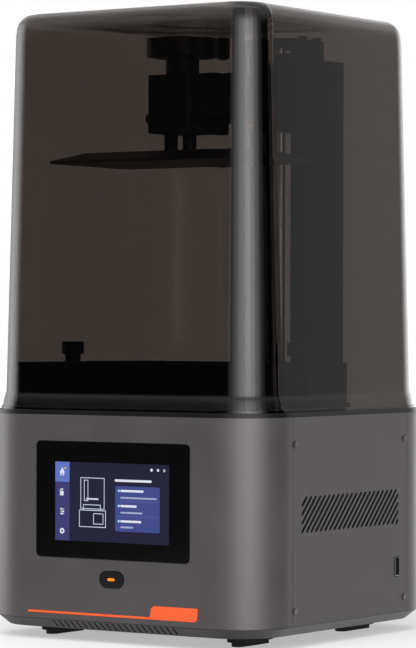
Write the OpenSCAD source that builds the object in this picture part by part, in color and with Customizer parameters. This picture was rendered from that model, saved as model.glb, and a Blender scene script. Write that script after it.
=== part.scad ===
// Desktop resin printer: steel base, tinted lift-off hood, screw-driven build platform.
// Millimetres, +Z up, origin at the bottom centre (underside of the feet).

/* [Base] */
// Width of the base, side to side
body_w = 235; // [220:1:260]
// Depth of the base, front to back
body_d = 238; // [225:1:265]
// Radius of the base's upright corners
corner_r = 40; // [30:1:45]
// Thickness of the sheet-steel skins and panels
skin_t = 1.5; // [1:0.1:2]
// Height of the rubber feet
foot_h = 8; // [6:0.5:12]
// Height of the bevelled bottom tray
tray_h = 6.8; // [5:0.1:9]
// Height of the sheet-steel skins above the tray
skin_h = 140.4; // [130:0.2:160]
// Thickness of the top plate
plate_t = 3; // [2.5:0.1:4]
// Width of each flat side panel
panel_w = 149.4; // [140:0.2:152]

/* [Hood] */
// Height of the hood above the top plate
hood_h = 276; // [272:1:300]
// Wall thickness of the hood
hood_wall = 2.2; // [2:0.1:4]
// How far the hood's walls lean in over their height
hood_draft = 6.8; // [2:0.1:8]

/* [Build platform and vat] */
// Width of the build platform
platform_w = 162; // [140:1:164]
// Depth of the build platform
platform_d = 95; // [80:1:98]
// Height of the platform's underside above the top plate, at the top of its travel
platform_top = 171.6; // [160:0.1:174]
// Distance of the platform and vat in front of the centre of the base
vat_offset = 34.4; // [34:0.1:36]
// Width of the vat at its rim
vat_w = 196; // [190:1:200]
// Depth of the vat at its rim
vat_d = 129; // [124:1:131]
// Height of the vat above the top plate
vat_h = 32.6; // [26:0.1:34]
// Width of the vat's opening
vat_open_w = 168; // [164:1:170]
// Depth of the vat's opening
vat_open_d = 102; // [98:1:104]
// Diameter of the knob that releases the platform
knob_d = 50; // [40:1:56]

/* [Z axis] */
// Distance of the lead screw behind the centre of the base
screw_y = 48; // [47:0.5:48.5]
// Diameter of the lead screw
screw_d = 8; // [8:1:8]
// Height of the column above the top plate
column_h = 250; // [245:0.5:252]
// Diameter of each guide rod
rod_d = 8; // [6:1:8]
// Distance between the centre lines of the guide rods
rod_gap = 15.6; // [14:0.2:18]

/* [Controls] */
// Width of the touch screen's cover glass
glass_w = 128; // [110:1:140]
// Height of the touch screen's cover glass
glass_h = 79.6; // [70:0.2:90]
// Height of the middle of the cover glass above the ground
glass_z = 97.3; // [90:0.1:105]
// Length of the power button
button_w = 20.3; // [15:0.1:24]
// Height of the power button
button_h = 11.2; // [9:0.1:14]
// Height of the middle of the power button above the ground
button_z = 44; // [38:0.5:46]

/* [Hidden] */
$fn = 64;
tray_z = foot_h;
skin_z = foot_h + tray_h;
plate_z = skin_z + skin_h;
top_z = plate_z + plate_t;
front_y = -body_d / 2;
back_y = body_d / 2;
side_x = body_w / 2;
seam_gap = 0.2;
tray_bevel = 8;
floor_t = 2.2;
floor_z = tray_z + floor_t;
foot_x = 78.2;
foot_y = 66.3;
foot_places = [for (x = [-1, 1], y = [-1, 1]) [x * foot_x, y * foot_y]];
fit = 0.05;

// Side panels
panel_screw_y = 71.8;
panel_screw_z = [skin_z + 10.2, skin_z + 122.1];
vent_count = 25;
vent_pitch = 5.9;
vent_shift = 1.75;
vent_slot = 2;
vent_w = 127;
vent_h = 24.3;
vent_z = 89.3;
post_w = 10;
usb_y = 62.1;
usb_z = 46.8;
usb_w = 5.7;
usb_h = 13.1;

// Back
rear_fan_z = 92;
rear_vent_pitch = 5.06;
inlet_x = -60;
inlet_z = 40;
board_z = floor_z + 6;
board_t = 1.6;
board_hole_x = 61;
board_hole_y = [31, 95];

// Front
button_travel = 1;
trim_z = 19.5;
trim_left = -70.7;
badge_left = 31.8;
badge_right = 71;
front_vents = 21;
front_vent_pitch = 5;
screen_drop = 1.2;
screen_screw_x = 66;
screen_screw_z = 41;

// Light engine
vat_y = -vat_offset;
lcd_w = 167;
lcd_d = 101;
lcd_ledge = 5;
ledge_t = 1.3;
box_w = 168;
box_d = 104;
box_rim_t = 1.5;
box_screw_x = box_w / 2;
box_screw_y = box_d / 2 + 3;
box_screws = [for (x = [-1, 1], y = [-1, 1]) [x * box_screw_x, vat_y + y * box_screw_y]];
lens_z = 118;
sink_z = 57.6;
sink_t = 4;
fin_h = 20;
fan_size = 60;
fan_t = 15;
led_fan_z = sink_z - fin_h - fan_t;

// Vat
vat_flare = 2.2;
vat_foot_h = 5;
ring_t = 1.7;
ring_z = top_z + 0.3;
film_t = 0.4;
ring_w = 7.2;
film_z = ring_z + ring_t;
frame_z = film_z + film_t;
film_screw_places = [
  for (x = [-3:3], y = [-1, 1]) [x * 28, y * (vat_open_d / 2 + 4)],
  for (x = [-1, 1], y = [-1, 1]) [x * (vat_open_w / 2 + 4), y * 24]
];
ear_x = 94.8;
ear_r = 8;
thumb_d = 15.9;
thumb_h = 9;
thumb_z = top_z + 37.8;

// Z axis
col_y = 71;
col_back = 98;
post_in = 20.6;
post_out = 31;
wing_out = 46.5;
wing_y = 83.3;
wing_back = 102.7;
cap_h = 17.6;
cap_w = 63.6;
cap_y = 69.8;
cap_back = 99;
cap_z = top_z + column_h;
cap_crown = 267;
cap_seat = top_z + 265.8;
window_top = top_z + 260.4;
cap_screw_x = 28;
cap_screw_y = [75, 95];
rod_y = 78;
rod_places = [for (x = [-1, 1]) [x * rod_gap / 2, rod_y]];
foot_block_h = 22;
shaft_d = 5;
motor_w = 42.3;
motor_h = 40;
slider_low = top_z + 199.5;
slider_high = top_z + 255.9;
carriage_low = top_z + 205.2;
carriage_high = top_z + 248.9;
carriage_y = 59;
carriage_back = 70.7;
arm_low = top_z + 203.8;
arm_high = top_z + 236.4;
arm_w = 34;
plate_half = 31.8;
block_w = 34.8;
block_d = 36.4;
block_seam = top_z + 206.7;
block_low = top_z + 192.4;
block_high = top_z + 233.3;
knob_low = top_z + 246.1;
knob_high = top_z + 259.1;
knob_turned = -29.3;
neck_d = 23.3;
knob_shaft_d = 10;
clamp_screw_y = 12.5;
clamp_screw_z = block_low + 10.5;
nut_d = 10.2;
nut_flange = 22;
platform_z = top_z + platform_top;
platform_edge = 2;
platform_rise = 6;
platform_slope = 18;

// ---- shared shapes ----

// Rectangle with round corners
module round_rect(w, d, r) {
  square([w - 2 * r, d], center = true);
  square([w, d - 2 * r], center = true);
  for (x = [-1, 1], y = [-1, 1])
    translate([x * (w / 2 - r), y * (d / 2 - r)]) circle(r);
}

// Upright slab with round corners
module slab(w, d, r, h) {
  linear_extrude(h) round_rect(w, d, r);
}

// Outline of the base, moved in by a distance
module base_outline(inset) {
  round_rect(body_w - 2 * inset, body_d - 2 * inset, corner_r - inset);
}

// Slab with two round ends, its length along X
module stadium(length, width, h) {
  linear_extrude(h) {
    square([length - width, width], center = true);
    for (x = [-1, 1]) translate([x * (length - width) / 2, 0]) circle(width / 2);
  }
}

// The same slab with its length along Y
module stadium_y(length, width, h) {
  rotate(90) stadium(length, width, h);
}

// A shape drawn in XY, stood up so that it faces -Y with its back at y
module facing_front(y) {
  translate([0, y, 0]) rotate([90, 0, 0]) children();
}

// Pan-head screw, head up, with the underside of its head at z = 0
module pan_screw(d, length, head_d, head_h) {
  cylinder(h = head_h, d = head_d);
  translate([0, 0, -length]) cylinder(h = length, d = d);
}

// Axial fan's square frame, its air path along +Z
module fan_frame(size, t) {
  difference() {
    slab(size, size, 4, t);
    translate([0, 0, -1]) cylinder(h = t + 2, d = size - 4);
    for (x = [-1, 1], y = [-1, 1])
      translate([x * (size / 2 - 5), y * (size / 2 - 5), -1]) cylinder(h = t + 2, d = 4.3);
  }
  difference() {
    cylinder(h = 1.5, d = 22);
    translate([0, 0, -1]) cylinder(h = 4, d = 3 + 2 * fit);
  }
  for (a = [45:90:359])
    rotate(a) translate([10, -1.5, 0]) cube([size / 2 - 11, 3, 1.5]);
}

// Fan rotor: a hub on a short shaft, with seven blades
module fan_rotor(size, t) {
  translate([0, 0, 0.3]) cylinder(h = 3, d = 3);
  translate([0, 0, 2]) cylinder(h = t - 3, d = 24);
  for (i = [0:6])
    rotate(i * 360 / 7) translate([11, 0, t / 2 + 0.5]) rotate([38, 0, 0])
      translate([0, -0.7, -5]) cube([size / 2 - 15, 1.4, 10]);
}

// ---- base ----

module base_tray() {
  color("#2b2a2a") difference() {
    hull() {
      translate([0, 0, skin_z - 0.4]) linear_extrude(0.4) base_outline(0);
      translate([0, 0, tray_z]) linear_extrude(0.4) base_outline(tray_bevel);
    }
    translate([0, 0, floor_z]) linear_extrude(tray_h) base_outline(14);
    // air slots in the front bevel
    for (i = [0:front_vents - 1])
      translate([(i - (front_vents - 1) / 2) * front_vent_pitch, front_y, tray_z + tray_h / 2])
        cube([1.2, 34, tray_h - 1.6], center = true);
    // air intake under the lower fan
    for (i = [-4:4])
      translate([i * 6, vat_y, tray_z - 1]) stadium_y(52 - abs(i) * 3, 3, floor_t + 2);
    for (p = foot_places) translate([p[0], p[1], tray_z - 1]) cylinder(h = floor_t + 2, d = 4.1);
  }
}

module rubber_feet() {
  color("#141414") for (p = foot_places) translate([p[0], p[1], 0]) difference() {
    union() {
      stadium_y(39, 9, 3.5);
      translate([0, 0, 3]) stadium_y(45, 15, foot_h - 3);
    }
    translate([0, 0, -1]) cylinder(h = 4, d = 7.2);
    cylinder(h = foot_h + 1, d = 4.1);
  }
}

module foot_screws() {
  color("silver") for (p = foot_places)
    translate([p[0], p[1], 3]) mirror([0, 0, 1]) pan_screw(4, foot_h + floor_t - 3, 7, 2);
}

module skin_ring() {
  translate([0, 0, skin_z]) linear_extrude(skin_h) difference() {
    base_outline(0);
    base_outline(skin_t);
  }
}

module front_skin() {
  color("#565253") difference() {
    skin_ring();
    translate([-body_w, -panel_w / 2 - seam_gap, 0]) cube([2 * body_w, body_d * 2, top_z]);
    facing_front(front_y + 3) translate([0, glass_z, 0]) slab(glass_w + 0.4, glass_h + 0.4, 3.7, 6);
    facing_front(front_y + 3) translate([0, button_z, 0])
      stadium(button_w + 0.4, button_h + 0.4, 6);
  }
}

module rear_skin() {
  color("#565253") difference() {
    skin_ring();
    translate([-body_w, panel_w / 2 + seam_gap - body_d * 2, 0]) cube([2 * body_w, body_d * 2, top_z]);
    // exhaust slots over the rear fan
    for (i = [-5:5])
      facing_front(back_y + 2) translate([i * rear_vent_pitch, rear_fan_z, 0])
        rotate(90) stadium(50 - abs(i) * 2.4, 2.6, 6);
    facing_front(back_y + 2) translate([inlet_x, inlet_z, 0]) cylinder(h = 6, d = 11.4);
  }
}

// Slots at 45 degrees with round ends, cut short by the sides of a rectangle
module vent_slots(length) {
  for (i = [0:vent_count - 1]) {
    mid = (i - (vent_count - 1) / 2) * vent_pitch + vent_shift;
    low = max(-vent_w / 2, mid - vent_h / 2);
    high = min(vent_w / 2, mid + vent_h / 2);
    translate([(low + high) / 2, (low + high) / 2 - mid, 0])
      rotate(45) stadium((high - low) * sqrt(2), vent_slot, length);
  }
}

module side_panel() {
  difference() {
    translate([side_x - skin_t, -panel_w / 2, skin_z]) cube([skin_t, panel_w, skin_h]);
    translate([side_x - 3, 0, vent_z]) rotate([90, 0, 90]) vent_slots(6);
    for (y = [-1, 1], z = panel_screw_z)
      translate([side_x - 3, y * panel_screw_y, z]) rotate([0, 90, 0]) cylinder(h = 6, d = 3.4);
  }
}

module side_panel_left() {
  color("#565253") mirror([1, 0, 0]) side_panel();
}

module side_panel_right() {
  color("#565253") difference() {
    side_panel();
    translate([side_x - 3, usb_y - 3.5, usb_z - 7.2]) cube([6, 7, 14.4]);
  }
}

module frame_posts() {
  color("silver") for (x = [-1, 1], y = [-1, 1]) difference() {
    translate([x * (side_x - skin_t - post_w / 2), y * panel_screw_y, skin_z + skin_h / 2])
      cube([post_w, post_w, skin_h], center = true);
    for (z = panel_screw_z)
      translate([x * (side_x - 8), y * panel_screw_y, z]) rotate([0, 90, 0])
        cylinder(h = 20, d = 3.1, center = true);
  }
}

module side_panel_screws() {
  color("dimgray") for (x = [-1, 1], y = [-1, 1], z = panel_screw_z)
    translate([x * side_x, y * panel_screw_y, z]) rotate([0, x * 90, 0]) pan_screw(3, 8, 4.6, 0.9);
}

module top_plate() {
  color("#1a1818") difference() {
    translate([0, 0, plate_z]) linear_extrude(plate_t) base_outline(0);
    translate([0, vat_y, plate_z - 1])
      slab(lcd_w + 0.6 - 2 * lcd_ledge, lcd_d + 0.6 - 2 * lcd_ledge, 1, plate_t + 2);
    translate([0, vat_y, plate_z + ledge_t]) slab(lcd_w + 0.6, lcd_d + 0.6, 1, plate_t);
    translate([0, screw_y, plate_z - 1]) cylinder(h = plate_t + 2, d = 22.4);
    for (x = [-1, 1]) translate([x * ear_x, vat_y, plate_z - 1]) cylinder(h = plate_t + 2, d = 5.1);
    for (p = box_screws) translate([p[0], p[1], plate_z - 1]) cylinder(h = 2.6, d = 3.1);
  }
}

// ---- front controls ----

module screen_glass() {
  color("#0a0a0a") facing_front(front_y + skin_t) translate([0, glass_z, 0])
    slab(glass_w, glass_h, 3.5, skin_t + 0.3);
}

module screen_module() {
  color("#171735") facing_front(front_y + skin_t + 5) translate([0, glass_z - screen_drop, 0])
    slab(105.5, 67.2, 1, 5);
}

module screen_bracket() {
  color("silver") facing_front(front_y + skin_t + 1.5)
    translate([0, glass_z - screen_drop, 0]) difference() {
      slab(142, 88, 4, 1.5);
      translate([0, 0, -1]) slab(106, 67.7, 1, 4);
      for (x = [-1, 1], z = [-1, 1])
        translate([x * screen_screw_x, z * screen_screw_z, -1]) cylinder(h = 4, d = 3.1);
    }
}

module screen_screws() {
  color("silver") for (x = [-1, 1], z = [-1, 1])
    translate([x * screen_screw_x, front_y + skin_t + 1.5, glass_z - screen_drop + z * screen_screw_z])
      rotate([-90, 0, 0]) pan_screw(3, 1.5, 5.5, 2);
}

module power_button() {
  color("#111111") difference() {
    union() {
      facing_front(front_y + 6.5) translate([0, button_z, 0]) stadium(button_w, button_h, 7.3);
      facing_front(front_y + skin_t + 1.7) translate([0, button_z, 0])
        stadium(button_w + 3.6, button_h + 3.6, 1.5);
    }
    facing_front(front_y + 1) translate([0, button_z, 0]) slab(5.8, 1.7, 0.8, 4);
  }
}

module button_light_bar() {
  color("#ff8000") facing_front(front_y + 1) translate([0, button_z, 0]) slab(5.8, 1.7, 0.8, 1.8);
}

module button_board() {
  color("#1d4a2c") {
    facing_front(front_y + 10.6) translate([0, button_z, 0]) slab(44, 18, 1, 1.6);
    facing_front(front_y + 9) translate([0, button_z, 0]) slab(6, 6, 0.5, 1);
    facing_front(front_y + 8) translate([0, button_z, 0]) cylinder(h = 0.4, d = 3.2);
  }
}

module button_standoffs() {
  color("silver") for (x = [-1, 1])
    facing_front(front_y + 9) translate([x * 18, button_z, 0]) cylinder(h = 7.5, d = 5);
}

module trim_stripe() {
  color("#f26a35") facing_front(front_y) {
    translate([trim_left, trim_z - 0.75, 0]) cube([badge_left - trim_left + 1, 1.5, 0.3]);
    linear_extrude(0.3) polygon([
      [badge_left - 0.4, trim_z - 0.75], [badge_right - 2.5, trim_z - 0.75],
      [badge_right - 0.6, trim_z + 1], [badge_right, trim_z + 8.4],
      [badge_left + 3.5, trim_z + 8.4], [badge_left + 1.2, trim_z + 6.6]]);
  }
}

// ---- sockets and electronics ----

module usb_socket() {
  color("silver") translate([side_x + 0.5, usb_y, usb_z]) rotate([0, -90, 0]) {
    difference() {
      translate([-usb_h / 2, -usb_w / 2, 0]) cube([usb_h, usb_w, 14]);
      translate([-usb_h / 2 + 0.3, -usb_w / 2 + 0.3, -1]) cube([usb_h - 0.6, usb_w - 0.6, 13]);
    }
    translate([-5.6, -0.9, 2]) cube([11.2, 1.8, 11]);
  }
}

module usb_board() {
  color("#1d4a2c") translate([side_x - 26, usb_y + usb_w / 2, usb_z - 11]) cube([22, 1.6, 22]);
}

module power_inlet() {
  color("#141414") translate([inlet_x, back_y + 0.8, inlet_z]) rotate([90, 0, 0]) {
    difference() {
      union() {
        cylinder(h = 14, d = 11);
        cylinder(h = 0.8, d = 14);
      }
      translate([0, 0, -1]) cylinder(h = 11, d = 6.4);
    }
    translate([0, 0, 1]) cylinder(h = 10, d = 2.1);
  }
}

// Board with its sockets, capacitors and main chip
module mainboard() {
  color("#1d4a2c") {
    difference() {
      translate([-66, 26, board_z]) cube([132, 74, board_t]);
      for (x = [-1, 1], y = board_hole_y)
        translate([x * board_hole_x, y, board_z - 1]) cylinder(h = 4, d = 3.2);
    }
    translate([0, 0, board_z + board_t]) {
      for (i = [0:4]) translate([-52 + i * 13, 92, 0]) cube([10, 7, 8]);
      for (i = [0:2]) translate([20 + i * 14, 38, 0]) cylinder(h = 11, d = 8);
      translate([-50, 34, 0]) cube([36, 20, 2]);
    }
  }
}

module chip_heatsink() {
  color("silver") translate([-8, 58, board_z + board_t]) {
    cube([24, 24, 3]);
    for (i = [0:6]) translate([i * 3.75, 0, 3]) cube([1.5, 24, 9]);
  }
}

module board_standoffs() {
  color("goldenrod") for (x = [-1, 1], y = board_hole_y)
    translate([x * board_hole_x, y, 0]) {
      translate([0, 0, floor_z]) cylinder(h = board_z - floor_z, d = 5.5);
      translate([0, 0, floor_z]) cylinder(h = 9.5, d = 3.1);
      translate([0, 0, board_z + board_t]) cylinder(h = 1.9, d = 5.5);
    }
}

module wifi_antenna() {
  color("#1d4a2c") translate([50, back_y - skin_t - 1.2, 128]) cube([26, 1.2, 9]);
}

module rear_fan_frame() {
  color("#181818") translate([0, back_y - skin_t, rear_fan_z]) rotate([90, 0, 0])
    fan_frame(fan_size, fan_t);
}

module rear_fan_rotor() {
  color("#202020") translate([0, back_y - skin_t, rear_fan_z]) rotate([90, 0, 0])
    fan_rotor(fan_size, fan_t);
}

// ---- light engine under the vat ----

module light_box() {
  color("#202020") difference() {
    translate([0, vat_y, 0]) {
      translate([0, 0, sink_z + sink_t]) slab(box_w, box_d, 2, plate_z - sink_z - sink_t);
      translate([0, 0, plate_z - box_rim_t]) slab(box_w + 12, box_d + 14, 3, box_rim_t);
    }
    translate([0, vat_y, sink_z]) slab(box_w - 3, box_d - 3, 1, plate_z);
    for (p = box_screws) translate([p[0], p[1], plate_z - 3]) cylinder(h = 5, d = 3.4);
  }
}

module light_box_screws() {
  color("silver") for (p = box_screws)
    translate([p[0], p[1], plate_z - box_rim_t]) mirror([0, 0, 1]) pan_screw(3, 3, 5.5, 2);
}

module lens_plate() {
  color("#dfe6ea") translate([0, vat_y, lens_z]) slab(box_w - 3, box_d - 3, 1, 3);
}

// White board with its grid of soldered emitters
module led_board() {
  color("#e9e9e4") translate([0, vat_y, sink_z + sink_t]) {
    slab(150, 86, 2, board_t);
    for (x = [-2.5:2.5], y = [-1.5:1.5]) translate([x * 24, y * 20, board_t]) {
      translate([-1.75, -1.75, 0]) cube([3.5, 3.5, 0.8]);
      translate([0, 0, 0.8]) cylinder(h = 0.9, d1 = 3, d2 = 1.6);
    }
  }
}

module led_heatsink() {
  color("silver") translate([0, vat_y, sink_z - fin_h]) {
    translate([0, 0, fin_h]) slab(box_w, box_d, 2, sink_t);
    for (i = [-10:10]) translate([i * 8 - 0.75, -box_d / 2, 0]) cube([1.5, box_d, fin_h]);
  }
}

module led_fan_frame() {
  color("#181818") translate([0, vat_y, led_fan_z]) fan_frame(fan_size, fan_t);
}

module led_fan_rotor() {
  color("#202020") translate([0, vat_y, led_fan_z]) fan_rotor(fan_size, fan_t);
}

module lcd_mask() {
  color("#15151c") translate([0, vat_y, plate_z + ledge_t])
    slab(lcd_w, lcd_d, 0.8, top_z + 1.7 - plate_z - ledge_t);
}

// ---- vat ----

module vat_frame() {
  color("#242323") translate([0, vat_y, 0]) difference() {
    union() {
      translate([0, 0, top_z]) slab(vat_w + 2 * vat_flare, vat_d + 2 * vat_flare, 9, vat_foot_h);
      translate([0, 0, top_z]) slab(vat_w, vat_d, 8, vat_h);
      for (x = [-1, 1]) translate([x * ear_x, 0, top_z]) cylinder(h = vat_h, r = ear_r);
    }
    translate([0, 0, top_z - 1]) slab(vat_open_w, vat_open_d, 6, vat_h + 2);
    // pocket for the film and its ring
    translate([0, 0, top_z - 1]) slab(vat_open_w + 2 * ring_w + 0.6,
      vat_open_d + 2 * ring_w + 0.6, 6, frame_z - top_z + 1);
    for (x = [-1, 1]) translate([x * ear_x, 0, top_z - 1]) cylinder(h = vat_h + 2, d = 5.4);
    for (p = film_screw_places) translate([p[0], p[1], frame_z - 1]) cylinder(h = 6.4, d = 2.6);
  }
}

module vat_film() {
  color("#e8eef0") translate([0, vat_y, film_z]) difference() {
    slab(vat_open_w + 2 * ring_w, vat_open_d + 2 * ring_w, 6, film_t);
    for (p = film_screw_places) translate([p[0], p[1], -1]) cylinder(h = 3, d = 2.6);
  }
}

module film_ring() {
  color("silver") translate([0, vat_y, ring_z]) difference() {
    slab(vat_open_w + 2 * ring_w, vat_open_d + 2 * ring_w, 6, ring_t);
    translate([0, 0, -1]) slab(vat_open_w, vat_open_d, 1.5, ring_t + 2);
    for (p = film_screw_places) translate([p[0], p[1], -1]) {
      cylinder(h = 4, d = 2.6);
      cylinder(h = 2.2, d = 5);
    }
  }
}

module film_screws() {
  color("silver") for (p = film_screw_places)
    translate([p[0], vat_y + p[1], ring_z + 1.2]) mirror([0, 0, 1]) pan_screw(2.5, 5, 4.8, 1.1);
}

module thumbscrew() {
  difference() {
    translate([0, 0, thumb_z]) cylinder(h = thumb_h, d = thumb_d);
    for (i = [0:11]) rotate(i * 30)
      translate([thumb_d / 2 + 0.6, 0, thumb_z - 1]) cylinder(h = thumb_h + 2, d = 2.4);
  }
  translate([0, 0, top_z + vat_h + 0.1]) cylinder(h = thumb_z - top_z - vat_h - 0.1, d = 11.4);
  translate([0, 0, plate_z]) cylinder(h = top_z + vat_h + 1 - plate_z, d = 5);
}

module thumbscrew_left() {
  color("#1c1b1b") translate([-ear_x, vat_y, 0]) thumbscrew();
}

module thumbscrew_right() {
  color("#1c1b1b") translate([ear_x, vat_y, 0]) thumbscrew();
}

// ---- z axis ----

module column_post() {
  difference() {
    union() {
      translate([post_in, col_y, top_z]) cube([post_out - post_in, col_back - col_y, column_h]);
      translate([post_in, wing_y, top_z]) cube([wing_out - post_in, wing_back - wing_y, column_h - 0.1]);
    }
    for (y = cap_screw_y) translate([cap_screw_x, y, cap_z - 12]) cylinder(h = 20, d = 3.1);
    // groove down the front
    translate([25.6, col_y - 1, top_z + 8]) cube([0.8, 1.6, column_h - 16]);
  }
}

module column_post_left() {
  color("#262424") mirror([1, 0, 0]) column_post();
}

module column_post_right() {
  color("#262424") column_post();
}

module column_foot() {
  color("#262424") difference() {
    translate([-post_in, col_y, top_z]) cube([2 * post_in, col_back - col_y, foot_block_h]);
    for (p = rod_places) translate([p[0], p[1], top_z + 2]) cylinder(h = foot_block_h, d = rod_d + fit);
  }
}

module column_cap() {
  color("#262424") difference() {
    intersection() {
      translate([-cap_w / 2, cap_y, cap_z]) cube([cap_w, cap_back - cap_y, cap_h]);
      // crowned top
      translate([0, cap_y - 1, cap_z + cap_h - cap_crown]) rotate([-90, 0, 0])
        cylinder(h = cap_back - cap_y + 2, r = cap_crown, $fn = 900);
    }
    translate([-post_in, cap_y - 1, cap_z - 1]) cube([2 * post_in, cap_back, window_top - cap_z + 1]);
    for (p = rod_places) translate([p[0], p[1], cap_z]) cylinder(h = cap_h - 2.8, d = rod_d + fit);
    for (x = [-1, 1]) {
      for (y = cap_screw_y) translate([x * cap_screw_x, y, cap_z - 1]) {
        cylinder(h = cap_h + 2, d = 3.4);
        translate([0, 0, cap_seat - cap_z + 1]) cylinder(h = 4, d = 7.2);
      }
      // cable notch and tapped hole in each side
      translate([x * (cap_w / 2 - 1.8) - 2, 80, cap_z - 1]) cube([4, 6, 8.7]);
      translate([x * (cap_w / 2), 89.4, cap_z + 3.4]) rotate([0, 90, 0])
        cylinder(h = 5, d = 3.4, center = true);
    }
  }
}

module cap_screws() {
  color("dimgray") for (x = [-1, 1], y = cap_screw_y)
    translate([x * cap_screw_x, y, cap_seat]) pan_screw(3, cap_seat - cap_z + 10, 6.5, 2.5);
}

module guide_rods() {
  color("silver") for (p = rod_places)
    translate([p[0], p[1], top_z + 2]) cylinder(h = column_h + cap_h - 5, d = rod_d);
}

module stepper_motor() {
  color("#1b1b1b") translate([0, screw_y, 0]) difference() {
    union() {
      translate([0, 0, plate_z - motor_h]) slab(motor_w, motor_w, 4, motor_h);
      translate([0, 0, plate_z]) cylinder(h = 2, d = 22);
    }
    translate([0, 0, plate_z - 30]) cylinder(h = 40, d = shaft_d + 2 * fit);
  }
}

module lead_screw() {
  color("silver") translate([0, screw_y, 0]) {
    translate([0, 0, top_z + 20]) cylinder(h = 234.2, d = screw_d);
    translate([0, 0, plate_z - 28]) cylinder(h = 38, d = shaft_d);
    // coupling between the motor's shaft and the screw
    translate([0, 0, top_z + 2.8]) cylinder(h = 22, d = 19);
  }
}

// ---- moving carriage ----

module lead_nut() {
  color("goldenrod") translate([0, screw_y, 0]) difference() {
    union() {
      translate([0, 0, arm_low - 3.5]) cylinder(h = 3.5, d = nut_flange);
      translate([0, 0, arm_low]) cylinder(h = 14, d = nut_d);
    }
    translate([0, 0, arm_low - 5]) cylinder(h = 30, d = screw_d + 2 * fit);
  }
}

module slider_block() {
  color("#2c2a2a") difference() {
    translate([-post_in + 1, carriage_back, slider_low])
      cube([2 * (post_in - 1), col_back - 1 - carriage_back, slider_high - slider_low]);
    for (p = rod_places) translate([p[0], p[1], slider_low - 1])
      cylinder(h = slider_high - slider_low + 2, d = rod_d + 2 * fit);
  }
}

module carriage_plate() {
  color("#2c2a2a") difference() {
    translate([-plate_half, carriage_y, carriage_low])
      cube([2 * plate_half, carriage_back - carriage_y, carriage_high - carriage_low]);
    for (x = [-1, 1], z = [carriage_low + 9, carriage_high - 9])
      translate([x * 25, carriage_y - 1, z]) rotate([-90, 0, 0]) cylinder(h = 6, d = 6);
    for (x = [-1, 1]) translate([x * plate_half, 65, carriage_high - 9]) rotate([0, 90, 0])
      cylinder(h = 4, d = 6.2, center = true);
  }
}

module platform_arm() {
  color("#1c1b1b") difference() {
    translate([-arm_w / 2, vat_y + block_d / 2, arm_low])
      cube([arm_w, carriage_y - vat_y - block_d / 2, arm_high - arm_low]);
    translate([0, screw_y, arm_low - 1]) cylinder(h = 60, d = nut_d + 2 * fit);
    translate([0, 10, arm_low + 11]) rotate([0, 90, 0]) cylinder(h = 80, d = 9, center = true);
  }
}

module clamp_block() {
  color("#1c1b1b") translate([0, vat_y, 0]) difference() {
    translate([0, 0, block_seam]) slab(block_w, block_d, 2, block_high - block_seam);
    translate([0, 0, block_seam - 1]) cylinder(h = 60, d = knob_shaft_d + 2 * fit);
  }
}

module platform_bracket() {
  color("#242323") translate([0, vat_y, 0]) {
    difference() {
      translate([0, 0, block_low]) slab(block_w, block_d, 2, block_seam - block_low);
      for (x = [-1, 1], y = [-1, 1])
        translate([x * block_w / 2, y * clamp_screw_y, clamp_screw_z])
          rotate([0, 90, 0]) cylinder(h = 17, d = 4.1, center = true);
      translate([0, 0, block_seam - 6.2]) cylinder(h = 10, d = knob_shaft_d + 2 * fit);
    }
    for (x = [-1, 1]) translate([x * 7.85, -2.5, platform_z + platform_edge + platform_rise])
      cylinder(h = block_low - platform_z - platform_edge - platform_rise, d = 9.8);
  }
}

module clamp_screws() {
  color("dimgray") for (x = [-1, 1], y = [-1, 1])
    translate([x * block_w / 2, vat_y + y * clamp_screw_y, clamp_screw_z]) rotate([0, x * 90, 0])
      pan_screw(4, 8, 7.6, 3);
}

module release_knob() {
  color("#1c1b1b") translate([0, vat_y, 0]) {
    difference() {
      translate([0, 0, knob_low]) cylinder(h = knob_high - knob_low, d = knob_d);
      for (i = [0:4]) rotate(knob_turned + i * 72)
        translate([knob_d / 2 + 3, 0, knob_low - 1]) cylinder(h = 20, d = 14);
    }
    translate([0, 0, block_high + 0.1]) cylinder(h = knob_low - block_high - 0.1, d = neck_d);
    translate([0, 0, block_seam - 6]) cylinder(h = block_high - block_seam + 7, d = knob_shaft_d);
  }
}

module build_platform() {
  color("#3a3838") translate([0, vat_y, platform_z]) hull() {
    slab(platform_w, platform_d, 1.5, platform_edge, $fn = 32);
    slab(platform_w - 2 * platform_slope, platform_d - 2 * platform_slope, 3,
      platform_edge + platform_rise, $fn = 32);
  }
}

// ---- hood ----

// Rounded outline of the hood at a height above the top plate
module hood_slice(h, inset) {
  translate([0, 0, top_z + h]) linear_extrude(0.02) base_outline(inset, $fn = 48);
}

module hood_shape(wall, low, high) {
  // flared skirt
  hull() {
    hood_slice(low, 3.1 + wall);
    hood_slice(7, 3.9 + wall);
  }
  hull() {
    hood_slice(7, 3.9 + wall);
    hood_slice(12, 5.2 + wall);
  }
  // leaning walls and rounded top edge
  hull() {
    hood_slice(12, 5.2 + wall);
    hood_slice(high - 8, 5.2 + hood_draft + wall);
    hood_slice(high - 3, 6.6 + hood_draft + wall);
    hood_slice(high - 0.02, 11 + hood_draft + wall);
  }
}

module hood() {
  color("#4e484566") difference() {
    union() {
      translate([0, 0, top_z]) linear_extrude(2.2) base_outline(2);
      hood_shape(0, 2, hood_h);
    }
    hood_shape(hood_wall, -1, hood_h - hood_wall);
  }
  // two shallow rings moulded under the roof
  color("#4e484566") for (d = [80, 171])
    translate([0, 0, top_z + hood_h - hood_wall - 0.8]) difference() {
      cylinder(h = 1.2, d = d);
      translate([0, 0, -1]) cylinder(h = 3, d = d - 4);
    }
}

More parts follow.
